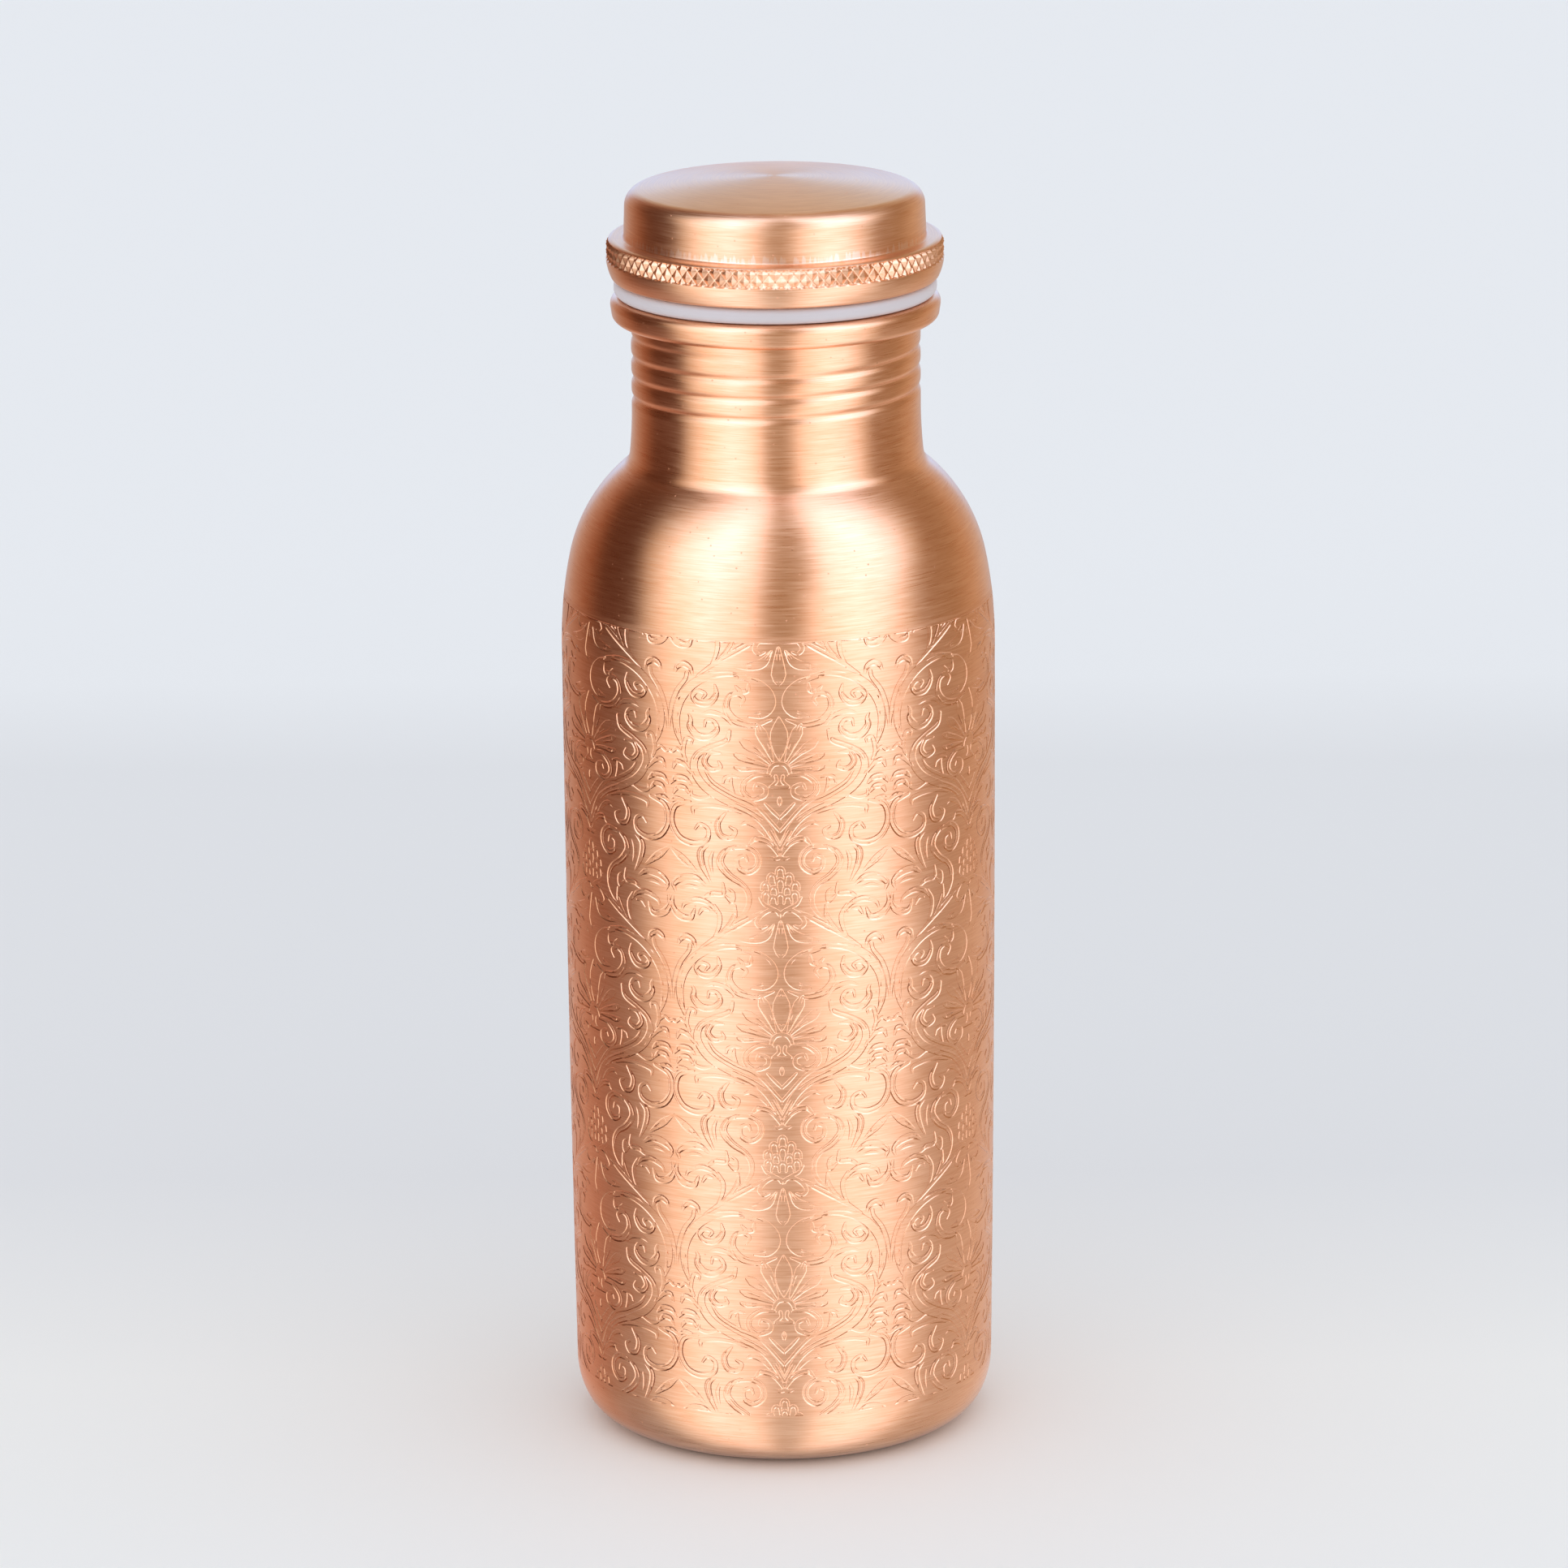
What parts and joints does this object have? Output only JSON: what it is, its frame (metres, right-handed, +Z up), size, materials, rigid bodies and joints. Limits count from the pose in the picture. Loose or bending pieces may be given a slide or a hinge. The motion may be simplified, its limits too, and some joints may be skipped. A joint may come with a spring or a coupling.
{
  "type": "water bottle",
  "caption": "Round copper water bottle with a scroll-engraved body, a threaded neck and a domed screw cap on a silicone seal.",
  "frame": {"origin": "centre of the flat ring that the bottle stands on", "axes": "+Z up along the bottle's axis; -Y is the front"},
  "size_m": [0.0712, 0.0712, 0.2108],
  "materials": {
    "copper": "satin",
    "cap_copper": "satin",
    "silicone": "matte"
  },
  "bodies": {
    "bottle": {"body_shell": "copper"},
    "seal": {"seal_ring": "silicone"},
    "cap": {"cap_shell": "cap_copper", "cap_plug": "cap_copper"}
  },
  "joints": [
    {"name": "cap_rise", "type": "slide", "parent": "bottle", "child": "seal", "axis": [0, 0, 1], "range_m": [0, 0.0231]},
    {"name": "cap_turn", "type": "hinge", "parent": "seal", "child": "cap", "pos_m": [0, 0, 0.1914], "axis": [0, 0, 1], "range_deg": [0, 2520]}
  ],
  "couplings": [
    {"joint": "cap_rise", "follows": "cap_turn", "m_per_rad": 0.00052521}
  ]
}
